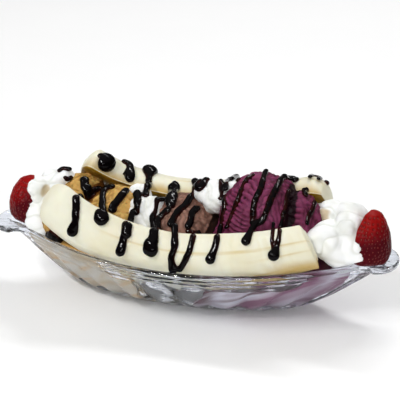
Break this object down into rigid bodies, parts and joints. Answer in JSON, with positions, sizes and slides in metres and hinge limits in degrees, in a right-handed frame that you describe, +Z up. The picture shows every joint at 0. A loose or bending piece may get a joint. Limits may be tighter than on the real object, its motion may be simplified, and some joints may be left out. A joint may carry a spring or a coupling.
{
  "type": "banana split",
  "caption": "Banana split: a halved banana, ice cream scoops, whipped cream, strawberries and chocolate syrup in a fluted glass boat dish.",
  "frame": {"origin": "middle of the underside of the dish's foot, on the surface that it stands on", "axes": "+X along the dish, towards the end with the larger berry scoop; +Z up; -Y is the side that the outer face of the front banana half looks to"},
  "size_m": [0.232, 0.09, 0.0764],
  "materials": {
    "glass": "clear",
    "banana": "moist",
    "caramel_melt": "glossy",
    "berry_melt": "glossy",
    "caramel_ice_cream": "satin",
    "chocolate_ice_cream": "satin",
    "berry_ice_cream": "satin",
    "strawberry": "glossy",
    "whipped_cream": "satin"
  },
  "bodies": {
    "root": {"dish": "glass", "banana_front": "banana", "banana_back": "banana", "melt_caramel": "caramel_melt", "melt_berry": "berry_melt", "scoop_caramel": "caramel_ice_cream", "scoop_caramel_small": "caramel_ice_cream", "scoop_chocolate": "chocolate_ice_cream", "scoop_berry": "berry_ice_cream", "scoop_berry_right": "berry_ice_cream", "strawberry_left": "strawberry", "strawberry_right": "strawberry", "cream_left": "whipped_cream", "cream_mid_left": "whipped_cream", "cream_mid_right": "whipped_cream", "cream_right": "whipped_cream"}
  },
  "joints": []
}
